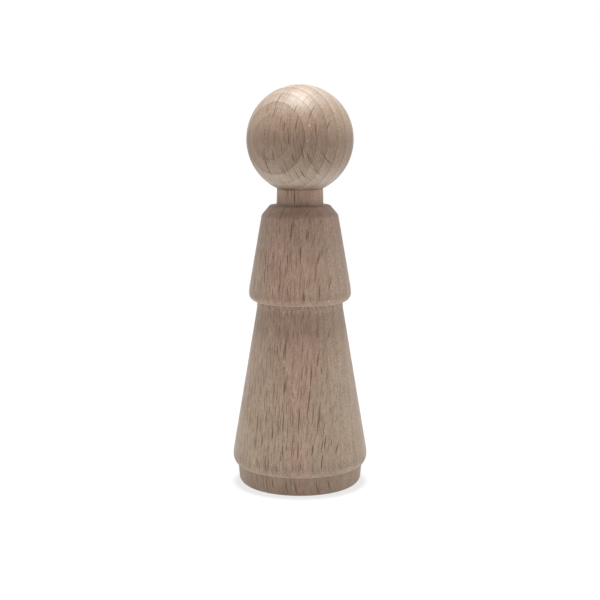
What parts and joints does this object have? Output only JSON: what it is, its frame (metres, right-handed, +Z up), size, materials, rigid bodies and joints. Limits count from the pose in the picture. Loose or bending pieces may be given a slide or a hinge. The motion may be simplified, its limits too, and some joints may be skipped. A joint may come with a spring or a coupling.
{
  "type": "peg doll",
  "caption": "Bare turned beech peg doll: ball head on a peg neck, flared jacket over a flared skirt, low plinth it stands on.",
  "frame": {"origin": "centre of the plinth's flat underside, on the surface the doll stands on", "axes": "+Z up along the turning axis, from the plinth to the head; the doll is round, so +X and +Y are free, and the pictured side faces -Y"},
  "size_m": [0.03, 0.03, 0.0886],
  "materials": {
    "beech": "bare, fine sanded, no oil or paint"
  },
  "bodies": {
    "root": {"head": "beech", "neck": "beech", "jacket": "beech", "skirt": "beech", "plinth": "beech"}
  },
  "joints": []
}
